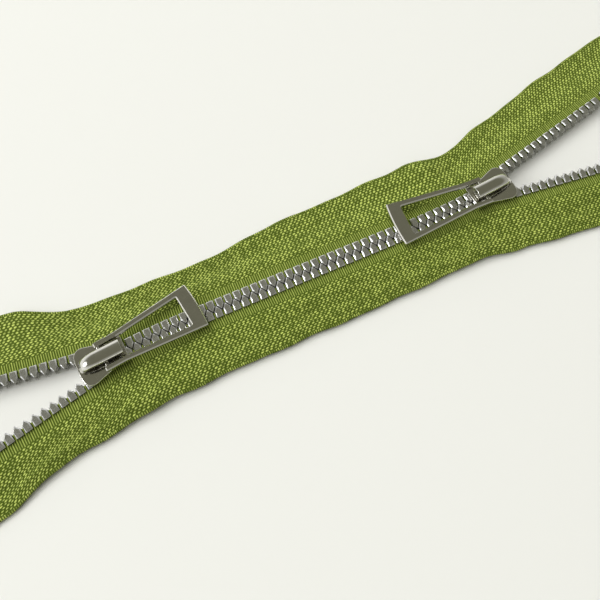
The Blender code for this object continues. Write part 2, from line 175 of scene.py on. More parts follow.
# Pull tab, along its own line from the pegs to the bar, as in the CAD
PEG_RADIUS = 0.4 * MM
PEG_HEIGHT = 5.3 * MM
PEG_INNER_END = 0.3 * MM
PEG_AT = {"left": 5.2 * MM, "right": 3.1 * MM}
TAB_YAW = {"left": math.radians(3.4), "right": math.radians(-7.1)}
TAB_DROOP = math.radians(3.0)
TAB_LENGTH = 23.85 * MM
TAB_ARM_END = 0.65 * MM
TAB_STRAIGHT = 4.2 * MM
TAB_HALF_WIDTHS = 3.8 * MM, 5.85 * MM
TAB_ARM_WIDTHS = 1.25 * MM, 1.5 * MM
TAB_BAR_DEPTH = 3.2 * MM
TAB_BAR_BOW = 0.35 * MM
TAB_THICKNESS = 1.3 * MM

# Finer shapes than the CAD's: rounded edges, the hollow in a tooth's head, the cap's crown and wall
TOOTH_CORNER = 0.12 * MM
TOOTH_CHAMFER = 0.27 * MM
HEAD_HOLLOW = 0.4 * MM, 0.9 * MM  # depth and height
CUT_REACH = 3.0 * MM  # from a tooth's middle to well outside it
STOP_CORNER = 0.5 * MM
STOP_ROUNDING = 0.45 * MM
BLADE_CORNER = 0.4 * MM
BLADE_RIM = 0.24 * MM
FLANGE_START = 0.15 * MM
FLANGE_ROUNDING = 0.14 * MM
DIAMOND_ROUNDING = 0.05 * MM
INNER_CORNER = 0.2 * MM  # of the diamond and the flanges
OVERLAP = 0.3 * MM  # how far joined pieces sink into each other
CAP_FOOT = BLADE_TOP + 0.02 * MM
CAP_CROWN = 1.3 * MM
CAP_SIDE = 0.4 * MM
CAP_RIM = 0.14 * MM
CAP_TAPER_START = 6.0 * MM
CAP_TAPER = 0.12, 0.35  # how much narrower and flatter it is at the nose
CAP_WALL = (0.15 * MM, 0.8 * MM), 1.2 * MM, 0.55 * MM  # places past the tail, half width, drop
CAP_WALL_CORNER = 0.15 * MM
CAP_WALL_ROUNDING = 0.05 * MM
LEVER_BEND = 0.3 * MM
LEVER_CORNER = 0.08 * MM
PIN_START_SHARE = 0.85
PIN_TAPER = 0.25
PEG_DOME = 0.12 * MM
TAB_CORNER = 0.3 * MM
TAB_CHAMFER = 0.26 * MM

# Finishes. The tape's green yarn is coloured darker in the weave's low places, as painted shade, and
# lighter on its raised floats and ribs, as painted highlight; each of the two varies between two colours.
YARN_IN_PAINTED_SHADE = (0.060, 0.092, 0.004, 1), (0.078, 0.115, 0.006, 1)
YARN_IN_PAINTED_HIGHLIGHT = (0.48, 0.57, 0.12, 1), (0.57, 0.66, 0.15, 1)
SHEEN = 0.85, 1.0, 0.45, 1
PAPER = 0.775, 0.775, 0.742, 1
TEETH_TINT = 0.86, 0.86, 0.86
# Painted shade: the darker tint given to the teeth's upright faces
TEETH_FLANK_PAINTED_SHADE = 0.30, 0.30, 0.27
SLIDER_TINT = 0.77, 0.755, 0.70
SPRING_TINT = 0.50, 0.50, 0.48
SHARP_EDGE = math.radians(35)
SHARP_TOOTH_EDGE = math.radians(40)

# Making meshes. A narrow level ring inside a rounded edge keeps the flat face's shading flat.
LEVEL_RIM = 0.03 * MM
LEAST_ROUNDING = 0.01 * MM
SHARP_TURN = math.radians(12)

# The hidden lines that tapes and teeth are moved along
GUIDE_STEP = 0.25 * MM
GUIDE_START = -42.0 * MM
GUIDE_END = 142.0 * MM

# Room: walls that are bright on the window's side, and a dim ceiling that the level metal mirrors
WINDOW_WALLS = 1.0, 1.0, 0.98, 1.0
FAR_WALLS = 0.42, 0.42, 0.385, 1.0
WINDOW_SIDE = -0.8, 0.6, 0.0
CEILING = 0.17, 0.168, 0.125, 1.0
WINDOW = (-0.42, 1.50, 1.55), (1.2, 0.9)  # place and size
FLOOR_HALF_SIZE = 1.2

# View
CAMERA_AT = Vector((-26.7, -56.0, 145.5)) * MM
CAMERA_TARGET = Vector((-4.43, -6.18, 3.3)) * MM
CAMERA_LENS = 39.0

ENDS = {-1: "left", 1: "right"}
ROWS = {1: "upper", -1: "lower"}
CHAIN = "chain_and_tapes"


# ---- lines of the chain and the tapes


def follow(stretches, distance):
    """Place and heading at a distance along a line of (length, turn) stretches. Before 0 it is straight."""
    x = y = heading = 0.0
    if distance < 0:
        return distance, 0.0, 0.0
    for length, turn in stretches:
        run = min(distance, length)
        turned = turn * run / length
        chord = run * math.sin(turned / 2) / (turned / 2) if turned else run
        x += chord * math.cos(heading + turned / 2)
        y += chord * math.sin(heading + turned / 2)
        heading += turned
        distance -= run
    return x, y, heading


def row_stretches(side):
    inside, curve, run, curve_back = CHANNEL_STRETCHES
    back = LEG_HEADING[side] - BEND_TURN - side * CHANNEL_TURN
    return [
        (BEND_START, 0.0),
        (BEND_LENGTH, BEND_TURN),
        (inside, 0.0),
        (curve, side * CHANNEL_TURN),
        (run, 0.0),
        (curve_back, back),
        (math.inf, 0.0),
    ]


def row_place(side, end, distance):
    """Place and heading on a row's line, at a distance from the middle towards one end."""
    x, y, heading = follow(row_stretches(side * end), distance)
    return end * x, end * y, heading


def row_frame(side, distance):
    """A frame on a row's line with its +Y towards that row's tape, at the height of the chain's middle."""
    end = 1 if distance >= 0 else -1
    x, y, heading = row_place(side, end, abs(distance))
    turn = heading if side > 0 else heading + math.pi
    return Matrix.Translation((x, y, CHAIN_MIDDLE_Z)) @ Matrix.Rotation(turn, 4, "Z")


def tooth_distances(side):
    return [
        (i + side * 0.25) * PITCH for i in range(-TEETH_EACH_WAY, TEETH_EACH_WAY + 1)
        if abs(i + side * 0.25) < TEETH_EACH_WAY
    ]


def beside(x, y, heading, offset):
    """A point to the left of a place, for one who looks along the heading."""
    return x - offset * math.sin(heading), y + offset * math.cos(heading)


def inner_point(side, end, distance):
    """The tape's inner edge, TAPE_INNER_EDGE from the row's line."""
    return beside(*row_place(side, end, distance), side * TAPE_INNER_EDGE)


def outer_stretches(half):
    """The tape's outer edge on one half. It turns once, to run beside its leg."""
    x, y, heading = row_place(half, 1, STOP_AT)
    out_x, out_y = beside(x, y, heading, half * TAPE_EDGE)
    corner = out_x - (out_y - half * TAPE_EDGE) / math.tan(heading)
    length = TAPE_EDGE_TURN_LENGTH[half]
    cut = length / abs(heading) * math.tan(abs(heading) / 2)
    return [(corner - cut, 0.0), (length, heading), (math.inf, 0.0)]


def outer_length(half):
    """The outer edge's length from the middle to the tape's end, which is cut square to the leg."""
    stretches = outer_stretches(half)
    x, _, heading = row_place(half, 1, TAPE_HALF_LENGTH)
    corner_x = x - half * TAPE_EDGE * math.sin(heading)
    turned = stretches[0][0] + stretches[1][0]
    turned_x, _, _ = follow(stretches, turned)
    return turned + (corner_x - turned_x) / math.cos(heading)


OUTER_RATIO = {half: outer_length(half) / TAPE_HALF_LENGTH for half in (1, -1)}


def outer_point(side, end, distance):
    """The outer edge opposite a distance along the row's line."""
    half = side * end
    x, y, _ = follow(outer_stretches(half), distance * OUTER_RATIO[half])
    return end * x, end * (y + half * TAPE_EDGE)


def smooth(t):
    t = np.clip(t, 0.0, 1.0)
    return t * t * (3 - 2 * t)


def eased(points, at):
    """A value that passes from point to point of a list of (place, value) with level tops and dips."""
    at = np.asarray(at, float)
    value = np.full(at.shape, float(points[0][1]))
    for (a, va), (b, vb) in zip(points, points[1:]):
        value = value + (vb - va) * smooth((at - a) / (b - a))
    return value


# ---- mesh helpers
#
# Metal shapes are worked out in millimetres and scaled to metres when they are done, because fills and
# booleans lose a shape's fine edges at its size in metres.


def new_object(name, data):
    obj = bpy.data.objects.new(name, data)
    bpy.context.scene.collection.objects.link(obj)
    return obj


def mesh_from(name, points, faces):
    mesh = bpy.data.meshes.new(name)
    mesh.from_pydata([tuple(p) for p in points], [], faces)
    mesh.update()
    return mesh


def ring_faces(rings, count):
    """Faces between closed rings of count points, one ring after another."""
    faces = []
    for base in range(0, (rings - 1) * count, count):
        for k in range(count):
            j = (k + 1) % count
            faces.append([base + k, base + j, base + count + j, base + count + k])
    return faces


def tube_faces(rings, count):
    """Faces between rings, with one more over the first ring and one over the last."""
    first, last = range(count), range((rings - 1) * count, rings * count)
    return [list(first)[::-1], *ring_faces(rings, count), list(last)]


def mark(mesh, name, values, kind="FLOAT"):
    """Gives each point of a mesh a value, or with kind FLOAT_VECTOR three."""
    attribute = mesh.attributes.new(name, kind, "POINT")
    field = "value" if kind == "FLOAT" else "vector"
    attribute.data.foreach_set(field, np.ascontiguousarray(values, np.float32).ravel())


def metal_from(name, points, faces):
    """A closed metal mesh in millimetres, from points in metres, with its faces pointing out."""
    mesh = mesh_from(name, [(x / MM, y / MM, z / MM) for x, y, z in points], faces)
    shape = bmesh.new()
    shape.from_mesh(mesh)
    bmesh.ops.remove_doubles(shape, verts=shape.verts, dist=1e-4)
    bmesh.ops.recalc_face_normals(shape, faces=shape.faces)
    shape.to_mesh(mesh)
    shape.free()
    return mesh


def combined(mesh, others, operation="UNION"):
    work = new_object("work", mesh)
    tools = [new_object("tool", other) for other in others]
    for tool in tools:
        modifier = work.modifiers.new("combine", "BOOLEAN")
        modifier.operation = operation
        modifier.solver = "MANIFOLD"
        modifier.object = tool
    bpy.context.view_layer.update()
    graph = bpy.context.evaluated_depsgraph_get()
    result = bpy.data.meshes.new_from_object(work.evaluated_get(graph))
    for obj in (work, *tools):
        bpy.data.objects.remove(obj)
    return result


def shade(mesh, angle=SHARP_EDGE):
    mesh.shade_smooth()
    mesh.set_sharp_from_angle(angle=angle)


def rounded_outline(outline, radius, inset=0.0, steps=4):
    """A closed counterclockwise outline with its corners rounded, moved inwards by some inset.

    Each corner keeps its arc's centre at every inset, so that the outlines at two insets are parallel
    and have the same number of points. A corner tighter than the inset comes to a point.
    """
    points = [Vector(p) for p in outline]
    result = []
    for i, corner in enumerate(points):
        before, after = corner - points[i - 1], points[(i + 1) % len(points)] - corner
        room = 0.48 * min(before.length, after.length)
        before, after = before.normalized(), after.normalized()
        normals = Vector((-before.y, before.x)), Vector((-after.y, after.x))
        inwards = (normals[0] + normals[1]) / (1 + normals[0].dot(normals[1]))
        turn = math.atan2(before.cross(after), before.dot(after))
        if abs(turn) < SHARP_TURN:
            result.append(tuple(corner + inwards * inset))
            continue
        side = math.copysign(1, turn)
        full = min(radius, room / math.tan(abs(turn) / 2))
        left = full - side * inset
        if left < LEAST_ROUNDING:
            result += [tuple(corner + inwards * inset)] * (steps + 1)
            continue
        centre = corner + inwards * side * full
        for k in range(steps + 1):
            spoke = Matrix.Rotation(turn * k / steps, 2) @ (-side * normals[0])
            result.append(tuple(centre + spoke * left))
    return result


def rounded_plate(outline, corner, bottom, top, radius, steps=4):
    """A plate of some outline with rounded corners, whose upper and lower edges are rounded too."""
    x, y = np.array(outline).T
    if (x * np.roll(y, -1) - np.roll(x, -1) * y).sum() < 0:
        outline = outline[::-1]
    turns = [math.pi / 2 * i / steps for i in range(steps + 1)]
    rounding = [(radius * (1 - math.sin(t)), radius * (1 - math.cos(t))) for t in turns]
    layers = [(radius + LEVEL_RIM, 0.0)] + rounding
    layers = [(inset, bottom + rise) for inset, rise in layers] + [
        (inset, top - rise) for inset, rise in reversed(layers)
    ]
    points = []
    for inset, height in layers:
        points += [(x, y, height) for x, y in rounded_outline(outline, corner, inset)]
    return metal_from("plate", points, tube_faces(len(layers), len(points) // len(layers)))


def box_mesh(low, high):
    shape = bmesh.new()
    middle = [(a + b) / 2 / MM for a, b in zip(low, high)]
    size = [(b - a) / MM for a, b in zip(low, high)]
    bmesh.ops.create_cube(shape, size=1, matrix=Matrix.LocRotScale(middle, None, size))
    mesh = bpy.data.meshes.new("box")
    shape.to_mesh(mesh)
    shape.free()
    return mesh


def arc(centre, radius, start, end, steps):
    """Points on an arc, its angles in degrees."""
    angles = [math.radians(start + (end - start) * i / steps) for i in range(steps + 1)]
    return [(centre[0] + radius * math.cos(a), centre[1] + radius * math.sin(a)) for a in angles]


def mirrored(half):
    return half + [(x, -y) for x, y in reversed(half)]


# ---- materials


class Nodes:
    """Short calls that add and link a material's or modifier's nodes."""

    def __init__(self, tree):
        self.tree = tree

    def add(self, kind, **settings):
        node = self.tree.nodes.new(kind)
        for name, value in settings.items():
            setattr(node, name, value)
        return node

    def set(self, socket, value):
        if isinstance(value, bpy.types.NodeSocket):
            self.tree.links.new(value, socket)
        else:
            socket.default_value = value

    def math(self, operation, *values, kind="ShaderNodeMath", output=0):
        node = self.add(kind, operation=operation)
        for socket, value in zip(node.inputs, values):
            self.set(socket, value)
        return node.outputs[output]

    def plus(self, a, b):
        return self.math("ADD", a, b)

    def minus(self, a, b):
        return self.math("SUBTRACT", a, b)

    def times(self, a, b):
        return self.math("MULTIPLY", a, b)

    def vector(self, operation, *values, output=0):
        return self.math(operation, *values, kind="ShaderNodeVectorMath", output=output)

    def parts(self, vector):
        """A vector's three numbers."""
        node = self.add("ShaderNodeSeparateXYZ")
        self.set(node.inputs[0], vector)
        return node.outputs

    def ramp(self, value, low, high):
        """0 below low, 1 above high, smooth between."""
        node = self.add("ShaderNodeMapRange", interpolation_type="SMOOTHSTEP")
        self.set(node.inputs["Value"], value)
        self.set(node.inputs["From Min"], low)
        self.set(node.inputs["From Max"], high)
        return node.outputs["Result"]

    def mix(self, kind, share, a, b):
        """Between a and b: a Mix node has its own sockets for each kind of value."""
        node = self.add("ShaderNodeMix", data_type=kind)
        first, result = {"FLOAT": (2, 0), "VECTOR": (4, 1), "RGBA": (6, 2)}[kind]
        self.set(node.inputs[0], share)
        self.set(node.inputs[first], a)
        self.set(node.inputs[first + 1], b)
        return node.outputs[result]

    def blend(self, share, a, b):
        return self.mix("FLOAT", share, a, b)

    def colour(self, share, a, b):
        return self.mix("RGBA", share, a, b)

    def noise(self, vector, scale, detail):
        node = self.add("ShaderNodeTexNoise")
        self.set(node.inputs["Vector"], vector)
        self.set(node.inputs["Scale"], scale)
        self.set(node.inputs["Detail"], detail)
        return node.outputs["Fac"]

    def attribute(self, name):
        """A number that a mesh's points were marked with, for Geometry Nodes."""
        node = self.add("GeometryNodeInputNamedAttribute", data_type="FLOAT")
        node.inputs["Name"].default_value = name
        return node.outputs["Attribute"]


def new_material(name):
    material = bpy.data.materials.new(name)
    material.use_nodes = True
    tree = material.node_tree
    return material, Nodes(tree), tree.nodes["Principled BSDF"]


def set_bump(n, shader, height, strength, distance):
    bump = n.add("ShaderNodeBump")
    bump.inputs["Strength"].default_value = strength
    bump.inputs["Distance"].default_value = distance
    n.set(bump.inputs["Height"], height)
    n.set(shader.inputs["Normal"], bump.outputs[0])


def tape_material():
    """Woven polyester: the attribute weave holds millimetres along the tape and across it.

    The two tapes are one weave, with the lower tape turned round.
    """
    material, n, shader = new_material("woven_tape")
    weave = n.add("ShaderNodeAttribute", attribute_name="weave").outputs["Vector"]
    split = n.parts(weave)
    wobble = n.minus(n.noise(weave, 0.9, 1.0), 0.5)
    along = n.plus(split[0], n.times(wobble, 0.22))
    across = n.plus(split[1], n.times(wobble, 0.16))

    # Floats: one cell of the weave each, domed, slanted, and shifted from yarn to yarn
    yarn = n.math("DIVIDE", across, YARN / MM)
    index = n.math("FLOOR", yarn)
    turn = n.plus(n.math("DIVIDE", along, FLOAT_LENGTH / MM), n.times(index, YARN_STEP))
    turn = n.plus(turn, n.times(n.math("SINE", n.times(index, YARN_STRAY_TURN)), YARN_STRAY))
    reach = n.minus(n.math("FRACT", turn), 0.5)
    place = n.minus(n.minus(n.minus(yarn, index), 0.5), n.times(reach, FLOAT_TILT))
    long_way, short_way = n.times(reach, FLOAT_ROUNDNESS[0]), n.times(place, FLOAT_ROUNDNESS[1])
    floats = n.minus(n.minus(1.0, n.times(long_way, long_way)), n.times(short_way, short_way))
    floats = n.math("SQRT", n.math("MAXIMUM", floats, 0.0))
    cell = n.add("ShaderNodeCombineXYZ")
    n.set(cell.inputs[0], n.math("FLOOR", turn))
    n.set(cell.inputs[1], index)
    chance = n.add("ShaderNodeTexWhiteNoise", noise_dimensions="3D")
    n.set(chance.inputs["Vector"], cell.outputs[0])
    chance = chance.outputs["Value"]

    # Ribs, the one behind each tooth a little higher
    pitch = PITCH / MM
    rib_turn = n.times(split[0], 2 * math.pi * RIBS_PER_TOOTH / pitch)
    ribs = n.math("POWER", n.plus(n.times(n.math("COSINE", rib_turn), 0.5), 0.5), 0.8)
    tooth_turn = n.times(n.minus(split[0], pitch / 4), math.pi / pitch)
    tooth_rib = n.math("POWER", n.math("ABSOLUTE", n.math("COSINE", tooth_turn)), 14.0)
    ribs = n.times(ribs, n.plus(n.times(tooth_rib, 0.12), 0.78))

    band_end = RIB_BAND_END / MM
    selvedge = (TAPE_EDGE - SELVEDGE_WIDTH) / MM
    twill = n.ramp(across, band_end - 0.3, band_end + 0.5)
    edge = n.ramp(across, selvedge - 0.15, selvedge + 0.15)
    height = n.blend(edge, n.blend(twill, ribs, floats), ribs)

    fibre = n.noise(n.vector("MULTIPLY", weave, (3.0, 22.0, 3.0)), 1.0, 3.0)
    height = n.plus(n.times(height, 0.84), n.times(fibre, 0.16))
    patch = n.noise(weave, 0.09, 2.0)
    spread = n.times(n.minus(chance, 0.5), n.times(twill, 0.42))
    # Painted shade and highlight: raised floats and ribs get the highlighted yarn colour, the low places
    # between them the shaded one
    lit = n.ramp(n.plus(height, spread), 0.34, 1.05)
    dark, bright = n.colour(patch, *YARN_IN_PAINTED_SHADE), n.colour(patch, *YARN_IN_PAINTED_HIGHLIGHT)
    n.set(shader.inputs["Base Color"], n.colour(lit, dark, bright))
    n.set(shader.inputs["Roughness"], n.blend(height, 0.92, 0.62))
    shader.inputs["Specular IOR Level"].default_value = 0.3
    shader.inputs["Sheen Weight"].default_value = 0.05
    shader.inputs["Sheen Roughness"].default_value = 0.4
    shader.inputs["Sheen Tint"].default_value = SHEEN
    set_bump(n, shader, height, 1.0, 0.16 * MM)
    return material


def metal_material(name, tint, roughness, scratch=1.0, cast=1.0, flank_shade=None):
    """Plated metal: near-mirror, with faint clouding, fine scratches and a soft waviness from casting.

    The flank tint is painted shade: upright faces get this darker tint for the shade they sit in and
    mirror, not for a different finish.
    """
    material, n, shader = new_material(name)
    place = n.vector("SCALE", n.add("ShaderNodeTexCoord").outputs["Object"])
    place.node.inputs["Scale"].default_value = 1 / MM
    cloud = n.noise(place, 0.45, 3.0)
    fine = n.noise(n.vector("MULTIPLY", place, (4.0, 46.0, 18.0)), 1.0, 2.0)
    worn = n.noise(place, 2.6, 4.0)
    rough = n.blend(n.ramp(worn, 0.35, 0.75), *roughness)
    rough = n.plus(rough, n.times(n.minus(fine, 0.5), 0.05 * scratch))
    n.set(shader.inputs["Roughness"], rough)
    plating = n.colour(cloud, (*(0.86 * c for c in tint), 1), (*tint, 1))
    if flank_shade:
        # Painted shade: upright faces are darkened towards the flank tint, for the shade they sit in and
        # mirror; faces that point up keep the plating's tint
        normal = n.parts(n.add("ShaderNodeNewGeometry").outputs["True Normal"])
        polished = n.ramp(n.math("ABSOLUTE", normal[2]), 0.2, 0.6)
        plating = n.colour(polished, (*flank_shade, 1), plating)
    n.set(shader.inputs["Base Color"], plating)
    shader.inputs["Metallic"].default_value = 1.0
    height = n.plus(n.times(fine, 0.12 * scratch), n.times(worn, 0.5 * cast))
    set_bump(n, shader, height, 0.35, 0.02 * MM)
    return material


# ---- zipping: what follows the sliders


def add_guide(name, side, end, place):
    """A hidden line of points, one every GUIDE_STEP of the row's line."""
    count = round((GUIDE_END - GUIDE_START) / GUIDE_STEP) + 1
    distances = [GUIDE_START + i * GUIDE_STEP for i in range(count)]
    points = [(*place(side, end, distance)[:2], 0.0) for distance in distances]
    mesh = mesh_from(name, points, [])
    mark(mesh, "heading", [row_place(side, end, d)[2] for d in distances])
    guide = new_object(name, mesh)
    guide.hide_render = True
    return guide


def guide_sample(n, guide, distance, heading=False):
    """A guide's place, or its heading, at a distance, read between its two nearest points."""
    info = n.add("GeometryNodeObjectInfo", transform_space="ORIGINAL")
    info.inputs["Object"].default_value = guide
    index = n.math("DIVIDE", n.minus(distance, GUIDE_START), GUIDE_STEP)
    floor = n.math("FLOOR", index)
    if heading:
        kind, mixed, read = "FLOAT", "FLOAT", n.attribute("heading")
    else:
        kind, mixed, read = "FLOAT_VECTOR", "VECTOR", n.add("GeometryNodeInputPosition").outputs[0]
    found = []
    for step in (0.0, 1.0):
        sample = n.add("GeometryNodeSampleIndex", data_type=kind, domain="POINT", clamp=True)
        n.set(sample.inputs["Geometry"], info.outputs["Geometry"])
        n.set(sample.inputs["Value"], read)
        n.set(sample.inputs["Index"], n.plus(floor, step))
        found.append(sample.outputs["Value"])
    return n.mix(mixed, n.minus(index, floor), *found)


def by_end(n, along, values):
    """For each point, the vector of the end that it is on."""
    node = n.add("GeometryNodeSwitch", input_type="VECTOR")
    n.set(node.inputs[0], n.math("GREATER_THAN", along, 0.0))
    n.set(node.inputs[1], values[-1])
    n.set(node.inputs[2], values[1])
    return node.outputs[0]


def slider_travel(n, end):
    """How far a slider has moved outwards, and that move as a vector."""
    info = n.add("GeometryNodeObjectInfo", transform_space="ORIGINAL")
    info.inputs["Object"].default_value = frame["bodies"][ENDS[end] + "_slider"]
    place = n.parts(info.outputs["Location"])[0]
    move = n.add("ShaderNodeCombineXYZ")
    n.set(move.inputs[0], place)
    return n.times(place, float(end)), move.outputs[0]


def new_node_group(name):
    group = bpy.data.node_groups.new(name, "GeometryNodeTree")
    group.interface.new_socket("Geometry", in_out="INPUT", socket_type="NodeSocketGeometry")
    group.interface.new_socket("Geometry", in_out="OUTPUT", socket_type="NodeSocketGeometry")
    n = Nodes(group)
    return group, n, n.add("NodeGroupInput").outputs[0], n.add("NodeGroupOutput").inputs[0]


def set_position(n, geometry, output, socket, value):
    """Moves the points: the socket is Position or Offset."""
    node = n.add("GeometryNodeSetPosition")
    n.set(node.inputs["Geometry"], geometry)
    n.set(node.inputs[socket], value)
    n.set(output, node.outputs[0])


def tape_zipping(side):
    """Moves a tape's points with the change in its two guides, the inner line and the outer edge.

    The outer edge is a little longer or shorter than the row's line. Its slip along the line is fullest at
    the tape's middle, where it cancels what the slider's travel would pull, and none at the tape's end.
    """
    group, n, geometry, output = new_node_group(ROWS[side] + "_tape_zipping")
    along = n.attribute("along")
    share = n.math("MINIMUM", n.math("MAXIMUM", n.attribute("share"), 0.0), 1.0)
    distance = n.math("ABSOLUTE", along)
    fade = n.minus(1.0, n.math("DIVIDE", distance, TAPE_HALF_LENGTH))
    moves = {}
    for end in (-1, 1):
        travel, move = slider_travel(n, end)
        shifted = n.minus(distance, travel)
        slip = n.times(travel, 1 / OUTER_RATIO[side * end] - 1)
        slipped = n.minus(shifted, n.times(slip, fade))
        changes = []
        for place, line, moved in ((inner_point, "inner", shifted), (outer_point, "outer", slipped)):
            guide = add_guide(f"guide_{ROWS[side]}_{line}_{ENDS[end]}", side, end, place)
            now, rest = guide_sample(n, guide, moved), guide_sample(n, guide, distance)
            changes.append(n.vector("SUBTRACT", now, rest))
        moves[end] = n.vector("ADD", n.mix("VECTOR", share, *changes), move)
    set_position(n, geometry, output, "Offset", by_end(n, along, moves))
    return group


def teeth_zipping(side):
    """Carries each tooth, whole, along the row's guide: along holds the tooth's own distance."""
    group, n, geometry, output = new_node_group(ROWS[side] + "_teeth_zipping")
    along = n.attribute("along")
    distance = n.math("ABSOLUTE", along)
    position = n.add("GeometryNodeInputPosition").outputs[0]
    places = {}
    for end in (-1, 1):
        travel, move = slider_travel(n, end)
        shifted = n.minus(distance, travel)
        guide = add_guide(f"guide_{ROWS[side]}_row_{ENDS[end]}", side, end, row_place)
        now, rest = guide_sample(n, guide, shifted), guide_sample(n, guide, distance)
        heading = guide_sample(n, guide, shifted, heading=True)
        turn = n.minus(heading, guide_sample(n, guide, distance, heading=True))
        turned = n.add("ShaderNodeVectorRotate", rotation_type="Z_AXIS")
        n.set(turned.inputs["Vector"], n.vector("SUBTRACT", position, rest))
        n.set(turned.inputs["Angle"], turn)
        places[end] = n.vector("ADD", n.vector("ADD", turned.outputs[0], now), move)
    set_position(n, geometry, output, "Position", by_end(n, along, places))
    return group


def add_piece(name, mesh, node, body, material, group=None):
    """A piece that stands for one CAD node."""
    obj = new_object(name, mesh)
    mesh.materials.clear()
    mesh.materials.append(material)
    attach(obj, body)
    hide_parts(node)
    if group:
        obj.modifiers.new("Zipping", "NODES").node_group = group
    return obj


# ---- tapes


def tape_section():
    """The tape's cross-section as a closed loop, from the bead over the top and back along the bottom.

    Each point is (distance from the row's line, height over the tape's middle surface, relief), where
    relief says whether the ribs and floats are raised on it.
    """
    half = TAPE_THICKNESS / 2
    loop = []
    start = math.asin(half / BEAD_RADIUS)
    for i in range(9):
        turn = start + (2 * math.pi - 2 * start) * (1 - i / 8)
        loop.append((BEAD_CENTRE + BEAD_RADIUS * math.cos(turn), BEAD_RADIUS * math.sin(turn), 0))
    loop += [(d, half, 1) for d in np.linspace(BAND_START, RIB_BAND_END, 8, endpoint=False)]
    rows = math.floor((TAPE_EDGE - half - RIB_BAND_END) / (YARN / 2))
    first = math.ceil(RIB_BAND_END / (YARN / 2))
    loop += [((first + i) * YARN / 2, half, 1) for i in range(rows)]
    for i in range(5):
        turn = math.pi / 2 - math.pi * i / 4
        loop.append((TAPE_EDGE - half + half * math.cos(turn), half * math.sin(turn), 0))
    outer, inner = UNDERSIDE_MARGINS
    loop += [(d, -half, 0) for d in np.linspace(TAPE_EDGE - outer, inner, 16, endpoint=False)]
    return np.array(loop)


def relief(along, across):
    """How far the woven surface stands up: ribs beside the teeth and at the edge, floats between."""
    rib = 0.5 + 0.5 * np.cos(2 * np.pi * RIBS_PER_TOOTH * along / PITCH)
    index = np.floor(across / YARN + 1e-6)
    turn = along / FLOAT_LENGTH + index * YARN_STEP + YARN_STRAY * np.sin(YARN_STRAY_TURN * index)
    reach = turn - np.floor(turn) - 0.5
    place = across / YARN - index - 0.5 - FLOAT_TILT * reach
    long_way, short_way = FLOAT_ROUNDNESS
    floats = np.sqrt(np.maximum(1 - (long_way * reach) ** 2 - (short_way * place) ** 2, 0))
    twill = smooth((across - RIB_BAND_END) / (0.6 * MM))
    edge = smooth((across - (TAPE_EDGE - SELVEDGE_WIDTH)) / (0.2 * MM))
    ribs = RIB_HEIGHT * rib
    return (ribs * (1 - twill) + FLOAT_HEIGHT * floats * twill) * (1 - edge) + ribs * edge


def add_tape(side, material):
    name = ROWS[side]
    step = PITCH / COLUMNS_PER_PITCH
    count = round(TAPE_HALF_LENGTH / step)
    along = np.linspace(-TAPE_HALF_LENGTH, TAPE_HALF_LENGTH, 2 * count + 1)
    section = tape_section()
    inner, outer, normal = [], [], []
    for distance in along:
        end = 1 if distance >= 0 else -1
        x, y, heading = row_place(side, end, abs(distance))
        normal.append((-side * math.sin(heading), side * math.cos(heading)))
        inner.append((x, y))
        outer.append(outer_point(side, end, abs(distance)))
    inner, outer, normal = np.array(inner), np.array(outer), np.array(normal)
    edge = inner + normal * TAPE_INNER_EDGE
    stray = eased(EDGE_STRAY[side], along / MM) * MM
    lift = eased(EDGE_LIFT[side], along / MM) * MM
    ripple = sum(size * np.sin(along / length + start) for size, length, start in RIPPLES)

    across, rise, raised = section.T
    share = (across - TAPE_INNER_EDGE) / (TAPE_EDGE - TAPE_INNER_EDGE)
    near = np.minimum(share, 0.0) * (TAPE_EDGE - TAPE_INNER_EDGE)
    far = np.clip(share, 0.0, None)
    out = smooth((share - STRAY_START_SHARE) / (1 - STRAY_START_SHARE))
    low = TAPE_THICKNESS / 2
    fall = 1 - smooth((share - TAPE_LEVEL_SHARE) / (TAPE_LOW_SHARE - TAPE_LEVEL_SHARE))

    flat = edge[:, None] + (outer - edge)[:, None] * far[None, :, None]
    flat = flat + normal[:, None] * near[None, :, None]
    flat = flat + normal[:, None] * ((stray + ripple)[:, None] * out[None, :])[:, :, None]
    droop = EDGE_DROOP * smooth((share - DROOP_START_SHARE) / (1 - DROOP_START_SHARE))
    lifted = smooth((share - TAPE_LEVEL_SHARE) / LIFT_RISE_SHARE) * (1 - droop)
    height = low + (CHAIN_MIDDLE_Z - low) * fall + lift[:, None] * lifted[None, :] + rise
    height = height + raised[None, :] * relief(side * along[:, None], across[None, :])
    height = np.maximum(height, TABLE_GAP)

    points = np.concatenate([flat, height[:, :, None]], 2).reshape(-1, 3)
    index = np.arange(height.size).reshape(height.shape)
    ahead = np.roll(index, -1, 1)
    quads = np.stack([index[:-1], index[1:], ahead[1:], ahead[:-1]], 2).reshape(-1, 4)
    faces = quads.tolist() + [index[0].tolist()[::-1], index[-1].tolist()]
    if side < 0:
        faces = [face[::-1] for face in faces]
    mesh = mesh_from(name + "_woven_tape", points, faces)
    mesh.shade_smooth()
    every_along, every_across = np.meshgrid(along, across, indexing="ij")
    mark(mesh, "along", every_along)
    mark(mesh, "share", np.broadcast_to(share, height.shape))
    weave = [side * every_along / MM, every_across / MM, np.zeros(height.shape)]
    mark(mesh, "weave", np.stack(weave, 2), "FLOAT_VECTOR")
    group = tape_zipping(side)
    tape = add_piece(name + "_woven_tape", mesh, name + "_tape", CHAIN, material, group)


# ---- teeth and stops


def jawed(mesh):
    """Cuts the opening that the tape's edge is clamped in."""
    low = -CUT_REACH, JAW_THROAT, -JAW_OPENING / 2
    high = CUT_REACH, JAW_THROAT + CUT_REACH, JAW_OPENING / 2
    return combined(mesh, [box_mesh(low, high)], "DIFFERENCE")


